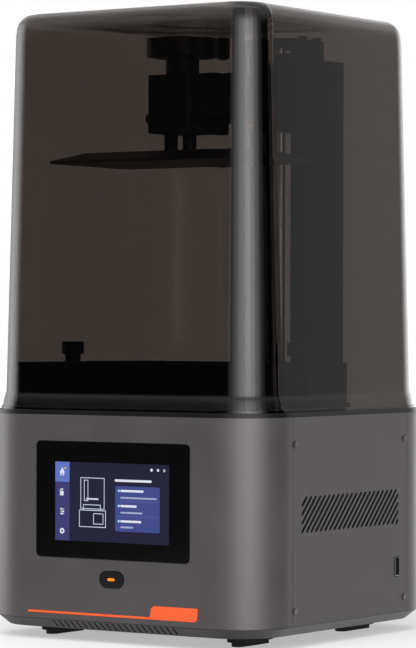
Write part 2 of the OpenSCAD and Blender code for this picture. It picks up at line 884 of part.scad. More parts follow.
base_tray();
rubber_feet();
foot_screws();
front_skin();
rear_skin();
side_panel_left();
side_panel_right();
frame_posts();
side_panel_screws();
top_plate();
screen_glass();
screen_module();
screen_bracket();
screen_screws();
power_button();
button_light_bar();
button_board();
button_standoffs();
trim_stripe();
usb_socket();
usb_board();
power_inlet();
mainboard();
chip_heatsink();
board_standoffs();
wifi_antenna();
rear_fan_frame();
rear_fan_rotor();
light_box();
light_box_screws();
lens_plate();
led_board();
led_heatsink();
led_fan_frame();
led_fan_rotor();
lcd_mask();
vat_frame();
vat_film();
film_ring();
film_screws();
thumbscrew_left();
thumbscrew_right();
column_post_left();
column_post_right();
column_foot();
column_cap();
cap_screws();
guide_rods();
stepper_motor();
lead_screw();
lead_nut();
slider_block();
carriage_plate();
platform_arm();
clamp_block();
platform_bracket();
clamp_screws();
release_knob();
build_platform();
hood();
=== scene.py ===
import math

import bpy
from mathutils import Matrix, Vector


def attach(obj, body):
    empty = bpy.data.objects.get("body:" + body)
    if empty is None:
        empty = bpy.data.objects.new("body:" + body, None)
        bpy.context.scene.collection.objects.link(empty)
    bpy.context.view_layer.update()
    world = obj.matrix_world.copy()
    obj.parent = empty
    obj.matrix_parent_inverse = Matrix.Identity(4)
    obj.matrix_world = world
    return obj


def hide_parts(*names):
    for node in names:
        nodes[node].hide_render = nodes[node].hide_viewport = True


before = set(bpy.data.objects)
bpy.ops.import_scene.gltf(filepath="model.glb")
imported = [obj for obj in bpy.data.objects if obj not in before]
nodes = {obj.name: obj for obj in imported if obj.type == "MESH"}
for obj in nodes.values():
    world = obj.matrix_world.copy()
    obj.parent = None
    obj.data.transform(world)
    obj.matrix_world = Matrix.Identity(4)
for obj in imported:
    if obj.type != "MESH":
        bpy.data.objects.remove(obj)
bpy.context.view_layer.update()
MM = 0.001

# ---- Camera ----
# It stands 2.2 m off, level with the touch screen's top, to the right of the front.
bpy.ops.object.select_all(action="DESELECT")
bpy.ops.object.camera_add(
    location=(1.24680, -1.84636, 0.21767),
    rotation=(math.radians(90), math.radians(-0.12), math.radians(34.07)),
)
camera = bpy.context.object
camera.data.lens = 174.28
camera.data.sensor_width = 36
bpy.context.scene.camera = camera
bpy.context.scene.view_settings.view_transform = "Standard"

# ---- Studio ----
# A white sweep behind the object, a tall soft box to the right of the front, a dim
# room elsewhere, and one large lamp overhead. The floor keeps the soft shadow.
studio = bpy.data.worlds.new("studio")
bpy.context.scene.world = studio
studio.use_nodes = True
tree = studio.node_tree
tree.nodes.clear()
direction = tree.nodes.new("ShaderNodeTexCoord")
split = tree.nodes.new("ShaderNodeSeparateXYZ")
flip = tree.nodes.new("ShaderNodeMath")
flip.operation = "MULTIPLY"
flip.inputs[1].default_value = -1
turn = tree.nodes.new("ShaderNodeMath")
turn.operation = "ARCTAN2"
share = tree.nodes.new("ShaderNodeMapRange")
share.inputs["From Min"].default_value = -math.pi
share.inputs["From Max"].default_value = math.pi
around = tree.nodes.new("ShaderNodeValToRGB")
around.color_ramp.interpolation = "EASE"
# azimuth from the front, in degrees, and the brightness of the room that way
room = [(-180, 0.42), (-165, 0.38), (-142, 0.06), (-126, 0.1), (-110, 0.28), (-96, 0.48),
        (-85, 0.5), (-75, 0.33), (-67, 0.13), (-58, 0.004), (4, 0.004), (14, 0.1), (24, 0.27),
        (34, 0.54), (44, 0.72), (54, 0.8), (65, 0.58), (75, 0.34), (86, 0.07), (96, 0.004),
        (134, 0.004), (140, 0.04), (146, 0.05), (152, 0.08), (161, 0.24), (174, 0.42), (180, 0.42)]
stops = around.color_ramp.elements
for azimuth, level in room:
    place = (azimuth + 180) / 360
    if azimuth == -180:
        stop = stops[0]
    elif azimuth == 180:
        stop = stops[len(stops) - 1]
    else:
        stop = stops.new(place)
    stop.position = place
    stop.color = (level, level, level, 1)
gain = tree.nodes.new("ShaderNodeMath")
gain.operation = "MULTIPLY"
gain.inputs[1].default_value = 4.6
ceiling = tree.nodes.new("ShaderNodeMapRange")
ceiling.interpolation_type = "SMOOTHSTEP"
ceiling.inputs["From Min"].default_value = 0.15
ceiling.inputs["From Max"].default_value = 0.6
upward = tree.nodes.new("ShaderNodeMix")
upward.inputs["B"].default_value = 0.6
rays = tree.nodes.new("ShaderNodeLightPath")
seen = tree.nodes.new("ShaderNodeMath")
seen.operation = "MAXIMUM"
bounced = tree.nodes.new("ShaderNodeMath")
bounced.operation = "ADD"
straight = tree.nodes.new("ShaderNodeMath")
straight.operation = "SUBTRACT"
straight.use_clamp = True
reflected = tree.nodes.new("ShaderNodeMix")
reflected.inputs["A"].default_value = 0.75
shown = tree.nodes.new("ShaderNodeMix")
shown.inputs["B"].default_value = 1.0
dome = tree.nodes.new("ShaderNodeBackground")
dome.inputs["Color"].default_value = (1, 1, 1, 1)
out = tree.nodes.new("ShaderNodeOutputWorld")
link = tree.links.new
link(direction.outputs["Generated"], split.inputs[0])
link(split.outputs["Y"], flip.inputs[0])
link(split.outputs["X"], turn.inputs[0])
link(flip.outputs[0], turn.inputs[1])
link(turn.outputs[0], share.inputs["Value"])
link(share.outputs["Result"], around.inputs["Fac"])
link(around.outputs["Color"], gain.inputs[0])
link(rays.outputs["Glossy Depth"], reflected.inputs["Factor"])
link(split.outputs["Z"], ceiling.inputs["Value"])
link(ceiling.outputs["Result"], upward.inputs["Factor"])
link(gain.outputs[0], upward.inputs["A"])
link(upward.outputs["Result"], reflected.inputs["B"])
link(rays.outputs["Is Camera Ray"], seen.inputs[0])
link(rays.outputs["Is Transmission Ray"], seen.inputs[1])
link(rays.outputs["Glossy Depth"], bounced.inputs[0])
link(rays.outputs["Diffuse Depth"], bounced.inputs[1])
link(seen.outputs[0], straight.inputs[0])
link(bounced.outputs[0], straight.inputs[1])
link(straight.outputs[0], shown.inputs["Factor"])
link(reflected.outputs["Result"], shown.inputs["A"])
link(shown.outputs["Result"], dome.inputs["Strength"])
link(dome.outputs[0], out.inputs["Surface"])

bpy.ops.object.light_add(type="AREA", location=(0.35, -1.1, 1.55))
lamp = bpy.context.object
lamp.data.shape = "RECTANGLE"
lamp.data.size = 1.4
lamp.data.size_y = 1.4
lamp.data.energy = 22
lamp.rotation_euler = (Vector((0, 0, 0.2)) - lamp.location).to_track_quat("-Z", "Y").to_euler()
lamp.visible_glossy = False
lamp.visible_transmission = False

bpy.ops.mesh.primitive_circle_add(vertices=96, radius=6, fill_type="NGON")
floor = bpy.context.object
floor.name = "studio_floor"
sweep = bpy.data.materials.new("studio_floor")
sweep.use_nodes = True
tree = sweep.node_tree
tree.nodes.clear()
place = tree.nodes.new("ShaderNodeTexCoord")
far = tree.nodes.new("ShaderNodeVectorMath")
far.operation = "LENGTH"
fade = tree.nodes.new("ShaderNodeMapRange")
fade.interpolation_type = "SMOOTHSTEP"
fade.inputs["From Min"].default_value = 0.25
fade.inputs["From Max"].default_value = 0.8
fade.inputs["To Min"].default_value = 0.45
rays = tree.nodes.new("ShaderNodeLightPath")
seen = tree.nodes.new("ShaderNodeMath")
seen.operation = "SUBTRACT"
seen.inputs[0].default_value = 1
share = tree.nodes.new("ShaderNodeMath")
share.operation = "MULTIPLY"
matt = tree.nodes.new("ShaderNodeBsdfDiffuse")
matt.inputs["Color"].default_value = (0.86, 0.86, 0.86, 1)
white = tree.nodes.new("ShaderNodeEmission")
open_floor = tree.nodes.new("ShaderNodeBsdfTransparent")
beyond = tree.nodes.new("ShaderNodeMixShader")
mix = tree.nodes.new("ShaderNodeMixShader")
out = tree.nodes.new("ShaderNodeOutputMaterial")
link = tree.links.new
link(place.outputs["Object"], far.inputs[0])
link(far.outputs["Value"], fade.inputs["Value"])
seen.use_clamp = True
link(rays.outputs["Diffuse Depth"], seen.inputs[1])
link(fade.outputs["Result"], share.inputs[0])
link(seen.outputs[0], share.inputs[1])
link(share.outputs[0], mix.inputs["Fac"])
link(matt.outputs[0], mix.inputs[1])
link(rays.outputs["Glossy Depth"], beyond.inputs["Fac"])
link(white.outputs[0], beyond.inputs[1])
link(open_floor.outputs[0], beyond.inputs[2])
link(beyond.outputs[0], mix.inputs[2])
link(mix.outputs[0], out.inputs["Surface"])
floor.data.materials.append(sweep)

# ---- Steel skins and side panels ----
# Folded 1.5 mm sheet steel, powder-coated a satin dark grey with a fine metallic grain.
# The skins wrap the front and rear corners; the flat panels are screwed on between them.


def linear(text):
    """A colour written as six hex digits, as a shader wants it."""
    parts = [int(text[i:i + 2], 16) / 255 for i in (0, 2, 4)]
    return tuple(c / 12.92 if c < 0.04045 else ((c + 0.055) / 1.055) ** 2.4 for c in parts) + (1,)


def grain_group():
    """Fine grain and slow mottling of a finish, for its colour, roughness and bump."""
    group = bpy.data.node_groups.new("surface_grain", "ShaderNodeTree")
    sockets = [("Color", "NodeSocketColor"), ("Scale", "NodeSocketFloat"),
               ("Color Spread", "NodeSocketFloat"), ("Roughness", "NodeSocketFloat"),
               ("Roughness Spread", "NodeSocketFloat"), ("Bump", "NodeSocketFloat")]
    for name, kind in sockets:
        group.interface.new_socket(name=name, in_out="INPUT", socket_type=kind)
    for name, kind in (("Color", "NodeSocketColor"), ("Roughness", "NodeSocketFloat"),
                       ("Normal", "NodeSocketVector")):
        group.interface.new_socket(name=name, in_out="OUTPUT", socket_type=kind)
    make, link = group.nodes.new, group.links.new
    given, given_out = make("NodeGroupInput"), make("NodeGroupOutput")
    place = make("ShaderNodeTexCoord")
    fine = make("ShaderNodeTexNoise")
    fine.inputs["Detail"].default_value = 2
    slow_scale = make("ShaderNodeMath")
    slow_scale.operation = "MULTIPLY"
    slow_scale.inputs[1].default_value = 0.02
    slow = make("ShaderNodeTexNoise")
    slow.inputs["Detail"].default_value = 3
    both = make("ShaderNodeMath")
    both.operation = "ADD"
    centred = make("ShaderNodeMath")
    centred.operation = "SUBTRACT"
    centred.inputs[1].default_value = 1
    tone = make("ShaderNodeMath")
    tone.operation = "MULTIPLY_ADD"
    tone.inputs[2].default_value = 1
    shade = make("ShaderNodeHueSaturation")
    rough = make("ShaderNodeMath")
    rough.operation = "MULTIPLY_ADD"
    bump = make("ShaderNodeBump")
    bump.inputs["Distance"].default_value = 0.0002
    link(place.outputs["Object"], fine.inputs["Vector"])
    link(place.outputs["Object"], slow.inputs["Vector"])
    link(given.outputs["Scale"], fine.inputs["Scale"])
    link(given.outputs["Scale"], slow_scale.inputs[0])
    link(slow_scale.outputs[0], slow.inputs["Scale"])
    link(fine.outputs["Fac"], both.inputs[0])
    link(slow.outputs["Fac"], both.inputs[1])
    link(both.outputs[0], centred.inputs[0])
    link(centred.outputs[0], tone.inputs[0])
    link(given.outputs["Color Spread"], tone.inputs[1])
    link(tone.outputs[0], shade.inputs["Value"])
    link(given.outputs["Color"], shade.inputs["Color"])
    link(centred.outputs[0], rough.inputs[0])
    link(given.outputs["Roughness Spread"], rough.inputs[1])
    link(given.outputs["Roughness"], rough.inputs[2])
    link(fine.outputs["Fac"], bump.inputs["Height"])
    link(given.outputs["Bump"], bump.inputs["Strength"])
    link(shade.outputs["Color"], given_out.inputs["Color"])
    link(rough.outputs[0], given_out.inputs["Roughness"])
    link(bump.outputs["Normal"], given_out.inputs["Normal"])
    return group


surface_grain = grain_group()


def finish(name, color, roughness, metallic=0.0, scale=900, spread=0.15, rough_spread=0.1, bump=0.1):
    """A material of one colour with the grain group on it."""
    material = bpy.data.materials.new(name)
    material.use_nodes = True
    shader = material.node_tree.nodes["Principled BSDF"]
    grain = material.node_tree.nodes.new("ShaderNodeGroup")
    grain.node_tree = surface_grain
    values = (linear(color), scale, spread, roughness, rough_spread, bump)
    for socket, value in zip(grain.inputs, values):
        socket.default_value = value
    link = material.node_tree.links.new
    link(grain.outputs["Color"], shader.inputs["Base Color"])
    link(grain.outputs["Roughness"], shader.inputs["Roughness"])
    link(grain.outputs["Normal"], shader.inputs["Normal"])
    shader.inputs["Metallic"].default_value = metallic
    return material


def dress(material, *names):
    """Gives CAD nodes a material in place of their plain one."""
    for name in names:
        mesh = nodes[name].data
        mesh.materials.clear()
        mesh.materials.append(material)


def soften(name, node, width, material, body="base", angle=35, clamp=False):
    """A copy of a node, its triangles joined and its sharp edges rounded, that stands for it."""
    bpy.ops.object.select_all(action="DESELECT")
    mesh = nodes[node].data.copy()
    piece = bpy.data.objects.new(name, mesh)
    bpy.context.scene.collection.objects.link(piece)
    mesh.materials.clear()
    mesh.materials.append(material)
    piece.select_set(True)
    bpy.context.view_layer.objects.active = piece
    bpy.ops.object.mode_set(mode="EDIT")
    bpy.ops.mesh.select_all(action="SELECT")
    bpy.ops.mesh.customdata_custom_splitnormals_clear()
    bpy.ops.mesh.remove_doubles(threshold=0.000002)
    bpy.ops.mesh.dissolve_limited(angle_limit=math.radians(0.5))
    bpy.ops.object.mode_set(mode="OBJECT")
    edge = piece.modifiers.new("edge", "BEVEL")
    edge.width = width * MM
    edge.segments = 2
    edge.limit_method = "ANGLE"
    edge.angle_limit = math.radians(angle)
    edge.use_clamp_overlap = clamp
    edge.miter_outer = "MITER_ARC"
    bpy.ops.object.modifier_apply(modifier="edge")
    bpy.ops.object.shade_smooth_by_angle(angle=math.radians(30))
    even = piece.modifiers.new("even", "WEIGHTED_NORMAL")
    even.keep_sharp = True
    bpy.ops.object.modifier_apply(modifier="even")
    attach(piece, body)
    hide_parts(node)
    return piece


powder_coat = finish("powder_coat", "605c5d", 0.42, metallic=0.5, scale=1600, spread=0.22,
                     rough_spread=0.12, bump=0.12)
soften("front_sheet", "front_skin", 0.25, powder_coat)
soften("rear_sheet", "rear_skin", 0.25, powder_coat)
dress(powder_coat, "side_panel_left", "side_panel_right")
# the cut edges of the vent slots get a near-black painted shade, standing for the shade inside the slots;
# the field's half length and its lowest and highest point
VENT_REACH = 65
VENT_LOW, VENT_HIGH = 60, 110
painted_slot_shade = finish("painted_slot_shade", "121111", 0.7, scale=900)
for name in ("side_panel_left", "side_panel_right"):
    mesh = nodes[name].data
    mesh.materials.append(painted_slot_shade)
    for face in mesh.polygons:
        along, up = abs(face.center.y), face.center.z
        within = along < VENT_REACH * MM and VENT_LOW * MM < up < VENT_HIGH * MM
        if within and abs(face.normal.x) < 0.5:
            face.material_index = 1

# ---- Bottom tray and feet ----
# A folded steel tray with a bevelled rim, coated darker, on four two-step rubber feet
# that are held by screws from below.
tray_coat = finish("tray_coat", "3b3838", 0.45, metallic=0.5, scale=1600, spread=0.2)
dress(tray_coat, "base_tray")
# the cut edges of the air slots in the front bevel get a near-black painted shade too, standing for the
# shade inside the slots
RIM_FRONT, RIM_REACH, RIM_TOP = -105, 56, 14.7
painted_tray_slot_shade = finish("painted_tray_slot_shade", "0c0b0b", 0.8, scale=900)
mesh = nodes["base_tray"].data
mesh.materials.append(painted_tray_slot_shade)
for face in mesh.polygons:
    front_rim = face.center.y < RIM_FRONT * MM and abs(face.center.x) < RIM_REACH * MM
    if front_rim and abs(face.normal.x) > 0.3 and face.center.z < RIM_TOP * MM:
        face.material_index = 1
foot_rubber = finish("foot_rubber", "161616", 0.8, scale=1200, spread=0.2, bump=0.25)
soften("feet", "rubber_feet", 0.5, foot_rubber)
zinc = finish("zinc", "b4b4b8", 0.35, metallic=1.0, scale=600, spread=0.12)
blackened = finish("blackened_screws", "3c3939", 0.3, metallic=0.9, scale=900)
soften("panel_screw_heads", "side_panel_screws", 0.6,
       finish("panel_screw_steel", "8a8785", 0.28, metallic=1.0, scale=700, spread=0.1))
dress(zinc, "foot_screws", "frame_posts", "screen_bracket", "screen_screws", "button_standoffs",
      "usb_socket", "light_box_screws", "film_ring", "film_screws")

# ---- Top plate ----
# A 3 mm anodised plate that closes the base and carries the vat, the column and the hood.
plate_black = finish("plate_black", "1d1b1b", 0.38, metallic=0.4, scale=1400, spread=0.15)
soften("deck_plate", "top_plate", 0.35, plate_black)

# ---- Touch screen ----
# Black-backed cover glass, held in the skin's cut-out, over a 4.3-inch display.
cover_black = finish("cover_black", "060606", 0.16, scale=300, spread=0.05, rough_spread=0.02, bump=0)
soften("cover_glass", "screen_glass", 0.2, cover_black)
dress(finish("display_back", "17171b", 0.5), "screen_module")

# ---- Display picture ----
# What the lit display shows through the glass: a column of plain symbols at the left, and a
# line drawing of the printer beside a card with short bars in place of words.
SCREEN_W, SCREEN_H = 95.04, 53.86
SCREEN_TOP = 123.03
GLASS_FRONT = -119.3
LAYER = 0.02


def screen_colour(name, colour):
    """A colour of the lit picture, which shines by itself behind a glossy face."""
    material = bpy.data.materials.new(name)
    material.use_nodes = True
    shader = material.node_tree.nodes["Principled BSDF"]
    shader.inputs["Base Color"].default_value = (0.01, 0.01, 0.01, 1)
    shader.inputs["Roughness"].default_value = 0.16
    shader.inputs["Emission Color"].default_value = linear(colour)
    shader.inputs["Emission Strength"].default_value = 0.9
    return material


def tile(left, top, right, bottom, layer, rounding=0.0, lean=0.0):
    """A thin flat shape of the picture; its place is a share of the picture's width and height."""
    bpy.ops.object.select_all(action="DESELECT")
    wide, high = (right - left) * SCREEN_W * MM, (bottom - top) * SCREEN_H * MM
    middle = ((left + right) / 2 - 0.5) * SCREEN_W * MM
    level = SCREEN_TOP * MM - (top + bottom) / 2 * SCREEN_H * MM
    bpy.ops.mesh.primitive_plane_add(size=1)
    shape = bpy.context.object
    shape.scale = (wide, high, 1)
    bpy.ops.object.transform_apply(scale=True)
    bpy.ops.object.mode_set(mode="EDIT")
    if rounding:
        bpy.ops.mesh.bevel(offset=rounding * MM, segments=3, affect="VERTICES")
    bpy.ops.mesh.extrude_region_move(TRANSFORM_OT_translate={"value": (0, 0, LAYER * MM)})
    bpy.ops.mesh.select_all(action="SELECT")
    bpy.ops.mesh.normals_make_consistent(inside=False)
    bpy.ops.object.mode_set(mode="OBJECT")
    shape.rotation_euler = (math.radians(90), math.radians(lean), 0)
    shape.location = (middle, (GLASS_FRONT - LAYER * layer) * MM, level)
    bpy.ops.object.transform_apply(location=True, rotation=True)
    return shape


def disc(across, down, size, sides, layer, turned=0.0):
    """A thin round or many-sided shape of the picture."""
    bpy.ops.object.select_all(action="DESELECT")
    bpy.ops.mesh.primitive_cylinder_add(
        vertices=sides, radius=size * MM, depth=LAYER * MM,
        location=((across - 0.5) * SCREEN_W * MM, (GLASS_FRONT - LAYER * layer - LAYER / 2) * MM,
                  (SCREEN_TOP - down * SCREEN_H) * MM),
        rotation=(math.radians(90), math.radians(turned), 0))
    bpy.ops.object.transform_apply(location=True, rotation=True)
    return bpy.context.object


def picture_piece(name, colour, shapes):
    """Joins shapes of one colour into one piece on the glass."""
    bpy.ops.object.select_all(action="DESELECT")
    for shape in shapes:
        shape.select_set(True)
    bpy.context.view_layer.objects.active = shapes[0]
    if len(shapes) > 1:
        bpy.ops.object.join()
    piece = bpy.context.object
    piece.name = name
    piece.data.materials.clear()
    piece.data.materials.append(screen_colour(name, colour))
    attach(piece, "base")


picture_piece("screen_ground", "171735", [tile(0, 0, 1, 1, 0)])
picture_piece("screen_menu", "3d3a73", [tile(0, 0, 0.127, 1, 1)])
picture_piece("screen_tab", "6278c8", [tile(0, 0, 0.127, 0.255, 2)])
picture_piece("screen_card", "3f4b8f", [tile(0.533, 0.285, 0.921, 0.855, 1, 1.2)])
picture_piece("screen_rules", "5a67a8", [tile(0.555, 0.472, 0.90, 0.478, 2),
                                         tile(0.555, 0.657, 0.90, 0.663, 2)])
picture_piece("screen_bullets", "9fe0f0",
              [disc(0.565, down, 0.9, 16, 2) for down in (0.343, 0.534, 0.726)])
picture_piece("screen_dot", "f0c040", [disc(0.09, 0.08, 0.7, 12, 4)])
symbols = [
    # house
    tile(0.046, 0.125, 0.078, 0.175, 3), disc(0.062, 0.115, 2.6, 3, 3, 0),
    # tool holder
    tile(0.050, 0.372, 0.074, 0.430, 3, 0.4), tile(0.042, 0.345, 0.048, 0.430, 3),
    tile(0.055, 0.340, 0.069, 0.362, 3),
    # sliders
    tile(0.044, 0.598, 0.080, 0.606, 3), tile(0.044, 0.628, 0.080, 0.636, 3),
    tile(0.044, 0.658, 0.080, 0.666, 3), disc(0.055, 0.602, 0.75, 12, 3),
    disc(0.070, 0.632, 0.75, 12, 3), disc(0.058, 0.662, 0.75, 12, 3),
    # gear
    disc(0.062, 0.88, 2.0, 8, 3), disc(0.062, 0.88, 2.0, 8, 3, 22.5),
    # state of the machine, top right
    disc(0.850, 0.07, 1.0, 16, 3), tile(0.897, 0.055, 0.915, 0.085, 3, 0.3),
    tile(0.953, 0.050, 0.958, 0.090, 3), tile(0.962, 0.060, 0.967, 0.090, 3),
    # bars in place of words
    tile(0.53, 0.200, 0.85, 0.230, 3, 0.4),
]
for down, long in ((0.343, 0.78), (0.534, 0.72), (0.726, 0.76)):
    symbols.append(tile(0.58, down - 0.014, long, down + 0.014, 3, 0.3))
picture_piece("screen_symbols", "e8ecf8", symbols)
notes = [tile(0.58, down - 0.011, long, down + 0.011, 3, 0.25)
         for down, long in ((0.430, 0.895), (0.617, 0.77), (0.800, 0.69))]
picture_piece("screen_notes", "a4acd4", notes)
sketch = []
for left, top, right, bottom in (
        # hood, base, screen, column, vat
        (0.226, 0.19, 0.434, 0.58), (0.214, 0.60, 0.446, 0.81), (0.340, 0.64, 0.424, 0.77),
        (0.257, 0.22, 0.290, 0.48), (0.250, 0.53, 0.400, 0.60)):
    sketch += [tile(left, top, right, top + 0.009, 3), tile(left, bottom, right, bottom + 0.009, 3),
               tile(left, top, left + 0.005, bottom, 3), tile(right, top, right + 0.005, bottom + 0.009, 3)]
sketch.append(tile(0.275, 0.45, 0.385, 0.47, 3))
picture_piece("screen_sketch", "d6dcf4", sketch)
picture_piece("screen_nav_eye", "3d3a73",
              [disc(0.062, 0.88, 0.8, 16, 4), tile(0.058, 0.145, 0.066, 0.175, 4)])

# ---- Power button ----
# A glossy moulded cap that slides in the skin, with a translucent bar lit from behind.
button_black = finish("button_black", "121011", 0.3, scale=700, spread=0.1, bump=0.03)
soften("button_cap", "power_button", 0.4, button_black, body="button")
amber = finish("amber_bar", "ff8000", 0.4, scale=500, spread=0.1)
glow = amber.node_tree.nodes["Principled BSDF"]
glow.inputs["Emission Color"].default_value = linear("ff8000")
glow.inputs["Emission Strength"].default_value = 0.6
dress(amber, "button_light_bar")

# ---- Trim stripe ----
# A thin orange film that widens into a plain badge.
orange_film = finish("orange_film", "f25c24", 0.6, scale=800, spread=0.06, bump=0.02)
dress(orange_film, "trim_stripe")

# ---- Sockets and electronics ----
# Green boards, moulded sockets and fans inside the base.
board_green = finish("board_green", "1d4a2c", 0.35, scale=500, spread=0.2)
dress(board_green, "button_board", "usb_board", "mainboard", "wifi_antenna")
dress(finish("board_white", "e4e4de", 0.4, scale=500), "led_board")
dress(finish("brass", "c79a48", 0.3, metallic=1.0, scale=500), "board_standoffs", "lead_nut")
dress(finish("bare_aluminium", "b9bbbd", 0.35, metallic=1.0, scale=500), "chip_heatsink", "led_heatsink")
moulded_black = finish("moulded_black", "1a1a1a", 0.5, scale=800, bump=0.1)
dress(moulded_black, "power_inlet", "rear_fan_frame", "rear_fan_rotor", "light_box",
      "led_fan_frame", "led_fan_rotor")
lens_clear = finish("lens_clear", "f2f5f6", 0.08, scale=300, spread=0.03, rough_spread=0.02, bump=0)
lens_clear.node_tree.nodes["Principled BSDF"].inputs["Transmission Weight"].default_value = 1.0
dress(lens_clear, "lens_plate")
dress(finish("panel_dark", "101016", 0.12, scale=300, bump=0), "lcd_mask")

# middle of the socket, and how far its tongue and its well, painted near black as shade, reach from there
USB_Y, USB_Z = 62.1, 46.8
TONGUE_REACH, WELL_REACH, WELL_HALF_HEIGHT = 0.95, 2.6, 6.3
TONGUE_END = 116.6
usb_well_painted_shade = finish("usb_well_painted_shade", "0b0b0c", 0.6, scale=600)
usb_white = finish("usb_white", "e6e6e8", 0.45, scale=600, spread=0.05)
mesh = nodes["usb_socket"].data
mesh.materials.append(usb_well_painted_shade)
mesh.materials.append(usb_white)
for face in mesh.polygons:
    across, up = abs(face.center.y - USB_Y * MM), abs(face.center.z - USB_Z * MM)
    if across < TONGUE_REACH * MM and face.center.x < TONGUE_END * MM:
        face.material_index = 2
    # the well of the socket gets a near-black painted shade
    elif across < WELL_REACH * MM and up < WELL_HALF_HEIGHT * MM:
        face.material_index = 1

# ---- Vat ----
# A machined aluminium frame, dark anodised, with a clear film stretched under it by a
# screwed ring, and a knurled thumbscrew at each end.
vat_dark = finish("vat_dark", "1b1a1a", 0.35, metallic=0.6, scale=1200)
soften("vat", "vat_frame", 0.6, vat_dark)
vat_film_clear = finish("film_clear", "eef1f2", 0.06, scale=300, spread=0.03, rough_spread=0.02, bump=0)
vat_film_clear.node_tree.nodes["Principled BSDF"].inputs["Transmission Weight"].default_value = 1.0
vat_film_clear.node_tree.nodes["Principled BSDF"].inputs["IOR"].default_value = 1.34
dress(vat_film_clear, "vat_film")
soften("thumbscrew_l", "thumbscrew_left", 0.3, vat_dark, body="left_thumbscrew")
soften("thumbscrew_r", "thumbscrew_right", 0.3, vat_dark, body="right_thumbscrew")

# ---- Column ----
# Two extruded aluminium posts, dark anodised, tied by a foot block and a screwed cap, with two
# ground guide rods between them.
column_dark = finish("column_dark", "2a2828", 0.4, metallic=0.6, scale=1200)
for name, node in (("post_l", "column_post_left"), ("post_r", "column_post_right"),
                   ("foot_block", "column_foot"), ("cap_block", "column_cap")):
    soften(name, node, 0.5, column_dark)
soften("cap_screw_heads", "cap_screws", 0.3, blackened)
bright = finish("bright_steel", "d0d0d0", 0.15, metallic=1.0, scale=400, spread=0.05)
dress(bright, "guide_rods")
dress(moulded_black, "stepper_motor")

# ---- Carriage ----
# A slider on the rods carries the arm, the clamp block and, under it, the build platform; the
# knob on top lets the platform go. All are machined aluminium, anodised black or grey.
arm_black = finish("arm_black", "4a4848", 0.45, metallic=0.6, scale=1200)
for name, node in (("slider", "slider_block"), ("carriage_front", "carriage_plate")):
    soften(name, node, 0.5, column_dark, body="carriage")
for name, node in (("arm", "platform_arm"), ("clamp", "clamp_block"), ("bracket", "platform_bracket")):
    soften(name, node, 0.5, arm_black, body="carriage")
soften("clamp_screw_heads", "clamp_screws", 0.3, blackened, body="carriage")
soften("knob", "release_knob", 0.6, arm_black, body="knob", clamp=True)
platform_grey = finish("platform_grey", "767272", 0.4, metallic=0.7, scale=1200)
soften("platform", "build_platform", 0.3, platform_grey, body="carriage")

# ---- Lead screw ----
# A ground steel screw with a two-start thread of 4 mm lead, coupled to the motor below it.
SCREW_PLACE = (0, 48, 158.2)
THREAD_LEAD = 4
THREAD_TURNS = 56
thread = []
for start in (0, 180):
    bpy.ops.object.select_all(action="DESELECT")
    bpy.ops.mesh.primitive_plane_add(size=1)
    ridge = bpy.context.object
    ridge.scale = (1.05 * MM, 1.1 * MM, 1)
    bpy.ops.object.transform_apply(scale=True)
    bpy.ops.object.mode_set(mode="EDIT")
    bpy.ops.mesh.select_mode(type="VERT")
    bpy.ops.mesh.select_all(action="DESELECT")
    bpy.ops.object.mode_set(mode="OBJECT")
    for point in ridge.data.vertices:
        point.select = point.co.x > 0
    bpy.ops.object.mode_set(mode="EDIT")
    bpy.ops.transform.resize(value=(1, 0.45, 1))
    bpy.ops.object.mode_set(mode="OBJECT")
    ridge.rotation_euler = (math.radians(90), 0, 0)
    ridge.location = (3.475 * MM, 0, 25.5 * MM)
    bpy.ops.object.transform_apply(location=True, rotation=True)
    turns = ridge.modifiers.new("turns", "SCREW")
    turns.axis = "Z"
    turns.screw_offset = THREAD_LEAD * MM
    turns.iterations = THREAD_TURNS
    turns.steps = 20
    turns.render_steps = 20
    turns.use_merge_vertices = True
    turns.merge_threshold = 0.001 * MM
    bpy.ops.object.modifier_apply(modifier="turns")
    ridge.rotation_euler = (0, 0, math.radians(start))
    bpy.ops.object.transform_apply(rotation=True)
    thread.append(ridge)
cores = []
# radius, and the heights over the deck plate where it starts and ends: core, plain tip,
# coupling, motor shaft
for radius, low, high in ((3.2, 21, 252), (3.6, 252, 254.2), (9.5, 2.8, 24.8), (2.5, -31, 7)):
    bpy.ops.object.select_all(action="DESELECT")
    bpy.ops.mesh.primitive_cylinder_add(vertices=48, radius=radius * MM, depth=(high - low) * MM,
                                        location=(0, 0, (low + high) / 2 * MM))
    bpy.ops.object.transform_apply(location=True)
    cores.append(bpy.context.object)
core = cores[0]
for piece in thread + cores:
    piece.select_set(True)
bpy.context.view_layer.objects.active = core
bpy.ops.object.join()
core.name = "thread"
core.location = tuple(place * MM for place in SCREW_PLACE)
bpy.ops.object.transform_apply(location=True)
bpy.ops.object.mode_set(mode="EDIT")
bpy.ops.mesh.select_all(action="SELECT")
bpy.ops.mesh.normals_make_consistent(inside=False)
bpy.ops.object.mode_set(mode="OBJECT")
bpy.ops.object.shade_smooth_by_angle(angle=math.radians(30))
core.data.materials.append(bright)
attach(core, "screw")
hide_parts("lead_screw")

# ---- Hood ----
# A moulded cover of smoke-tinted clear plastic that rests on the deck plate by a thin flange.
# Its wall is about 2.2 mm thick and thicker in the corners, with two shallow rings under the roof.
HOOD_TONE = (0.232, 0.208, 0.196, 1)
# the near black of the painted shade on the hood's corner flanks
CORNER_PAINTED_SHADE = (0.002, 0.002, 0.002, 1)
hood_tint = bpy.data.materials.new("hood_tint")
hood_tint.use_nodes = True
shader = hood_tint.node_tree.nodes["Principled BSDF"]
shader.inputs["Base Color"].default_value = HOOD_TONE
shader.inputs["Roughness"].default_value = 0.0
shader.inputs["IOR"].default_value = 1.585
shader.inputs["Transmission Weight"].default_value = 1.0
DECK = 158.2
BASE_W, BASE_D, BASE_CORNER = 235, 238, 40
CORNER_FILL = 4
RING_HEIGHT = 273.29
